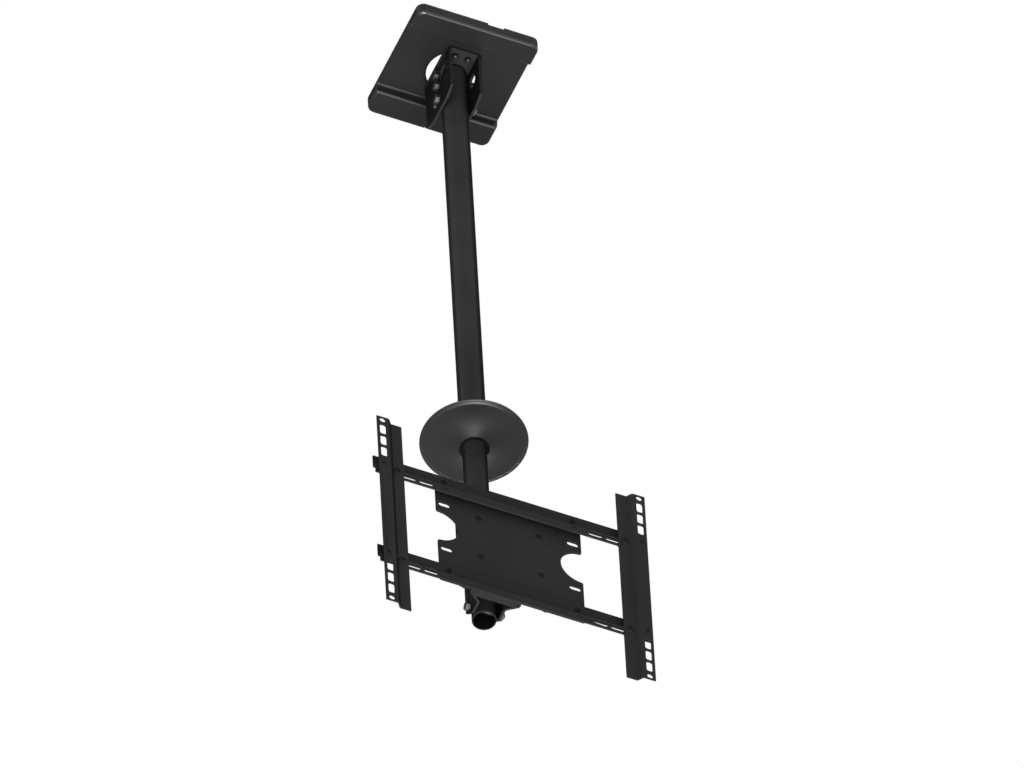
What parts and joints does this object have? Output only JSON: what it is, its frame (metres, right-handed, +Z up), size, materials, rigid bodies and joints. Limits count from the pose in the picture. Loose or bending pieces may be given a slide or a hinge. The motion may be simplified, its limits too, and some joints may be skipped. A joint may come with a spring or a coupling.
{
  "type": "ceiling tv mount",
  "caption": "Black steel ceiling mount for a flat screen: telescopic pole, ceiling cover, rose, tilting plate with rails and sliding vertical arms.",
  "frame": {"origin": "on the pole's axis in the ceiling plane, at the centre of the ceiling bolts", "axes": "+Z up, +X along the rails, +Y to the back; the screen faces -Y"},
  "size_m": [0.42, 0.2218, 1.4407],
  "materials": {
    "black_steel": "black powder coat, satin",
    "cover_plastic": "black moulded plastic, satin",
    "black_fastener": "black zinc",
    "rose_rubber": "matt black"
  },
  "bodies": {
    "ceiling": {"ceiling_plate": "black_steel", "pole_yoke": "black_steel", "yoke_screws": "black_fastener", "yoke_nuts": "black_fastener", "cover_clips": "black_fastener", "upper_pole": "black_steel", "pole_bolts": "black_fastener", "pole_washers": "black_fastener", "pole_nuts": "black_fastener", "earth_screw": "black_fastener", "lock_collar": "black_steel", "lock_screws": "black_fastener"},
    "cover": {"ceiling_cover": "cover_plastic"},
    "rose": {"ceiling_rose": "black_steel", "rose_ring": "rose_rubber"},
    "drop": {"lower_pole": "black_steel", "pole_bracket": "black_steel", "clamp_bolts": "black_fastener", "clamp_washers": "black_fastener", "clamp_nuts": "black_fastener", "tilt_yoke": "black_steel", "tilt_yoke_bolts": "black_fastener", "tilt_yoke_nuts": "black_fastener", "pivot_rod": "black_fastener", "pivot_spacers": "black_fastener", "pivot_rings": "black_fastener"},
    "head": {"left_cheek": "black_steel", "right_cheek": "black_steel", "cheek_screws": "black_fastener", "cheek_nuts": "black_fastener", "interface_plate": "black_steel", "upper_rail": "black_steel", "lower_rail": "black_steel", "lip_screws": "black_fastener", "lip_nuts": "black_fastener"},
    "arm_l": {"left_arm": "black_steel", "left_arm_bolts": "black_fastener", "left_arm_nuts": "black_fastener", "left_arm_grubs": "black_fastener"},
    "arm_r": {"right_arm": "black_steel", "right_arm_bolts": "black_fastener", "right_arm_nuts": "black_fastener", "right_arm_grubs": "black_fastener"}
  },
  "joints": [
    {"name": "cover_slide", "type": "slide", "parent": "ceiling", "child": "cover", "axis": [0, 0, -1], "range_m": [0, 0.5]},
    {"name": "rose_slide", "type": "slide", "parent": "ceiling", "child": "rose", "axis": [0, 0, -1], "range_m": [0, 0.05]},
    {"name": "height_slide", "type": "slide", "parent": "ceiling", "child": "drop", "axis": [0, 0, -1], "range_m": [-0.12, 0.1]},
    {"name": "tilt", "type": "hinge", "parent": "drop", "child": "head", "pos_m": [0, -0.08, -1.2], "axis": [1, 0, 0], "range_deg": [-5, 15]},
    {"name": "left_arm_slide", "type": "slide", "parent": "head", "child": "arm_l", "axis": [-1, 0, 0], "range_m": [-0.0005, 0.016]},
    {"name": "right_arm_slide", "type": "slide", "parent": "head", "child": "arm_r", "axis": [1, 0, 0], "range_m": [-0.0005, 0.016]}
  ]
}
